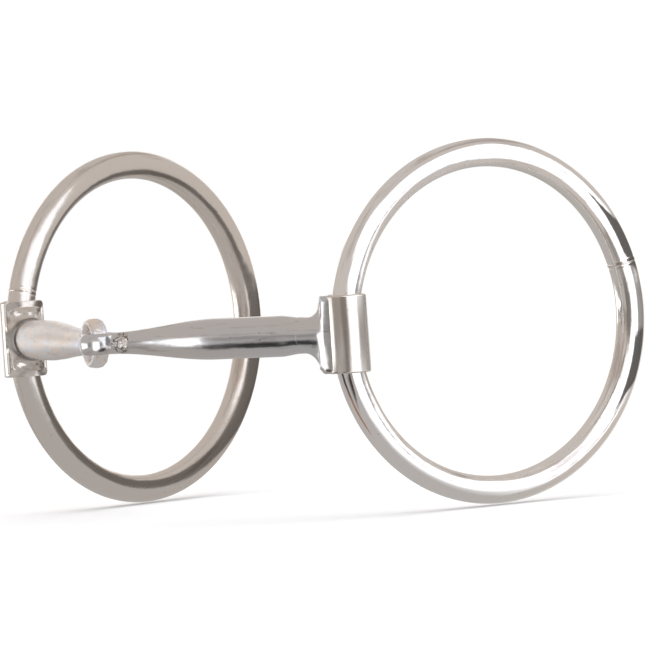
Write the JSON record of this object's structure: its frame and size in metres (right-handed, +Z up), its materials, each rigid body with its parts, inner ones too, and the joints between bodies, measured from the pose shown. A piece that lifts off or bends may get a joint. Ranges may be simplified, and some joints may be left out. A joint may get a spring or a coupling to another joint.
{
  "type": "snaffle bit",
  "caption": "Ring snaffle bit: round cheek rings turn in cast sleeves on a tapering mouthpiece that is hooked together by an eye and a loop at its centre.",
  "frame": {"origin": "inside the top of the right ring, on the middle of its bar, where the bridle's cheekpiece bears", "axes": "+Z up along the sleeves' bores; +X from the right sleeve across the right ring, away from the horse's mouth; +Y from the right ring across to the left ring"},
  "size_m": [0.123, 0.1595, 0.089],
  "materials": {
    "ring_steel": "polished stainless steel",
    "sleeve_steel": "satin cast stainless steel",
    "mouth_steel": "tumbled cast stainless steel with fine scratches",
    "weld_steel": "rough weld bead, ground back"
  },
  "bodies": {
    "right_ring_body": {"right_ring": "ring_steel", "right_ring_weld": "weld_steel"},
    "right_half": {"right_sleeve": "sleeve_steel", "right_cannon": "mouth_steel", "hook_weld": "weld_steel"},
    "left_half": {"left_cannon": "mouth_steel", "left_sleeve": "sleeve_steel"},
    "left_ring_body": {"left_ring": "ring_steel", "left_ring_weld": "weld_steel"}
  },
  "joints": [
    {"name": "right_ring_swing", "type": "hinge", "parent": "right_ring_body", "child": "right_half", "pos_m": [-0.04044, 0, -0.0375], "axis": [0, 0, 1], "range_deg": [-28, 152]},
    {"name": "mouth_fold", "type": "hinge", "parent": "right_half", "child": "left_half", "pos_m": [-0.07331, 0.06181, -0.0375], "axis": [0, 0, 1], "range_deg": [-33, 117]},
    {"name": "left_ring_swing", "type": "hinge", "parent": "left_half", "child": "left_ring_body", "pos_m": [-0.05637, 0.12973, -0.0375], "axis": [0, 0, 1], "range_deg": [-29, 151]}
  ]
}
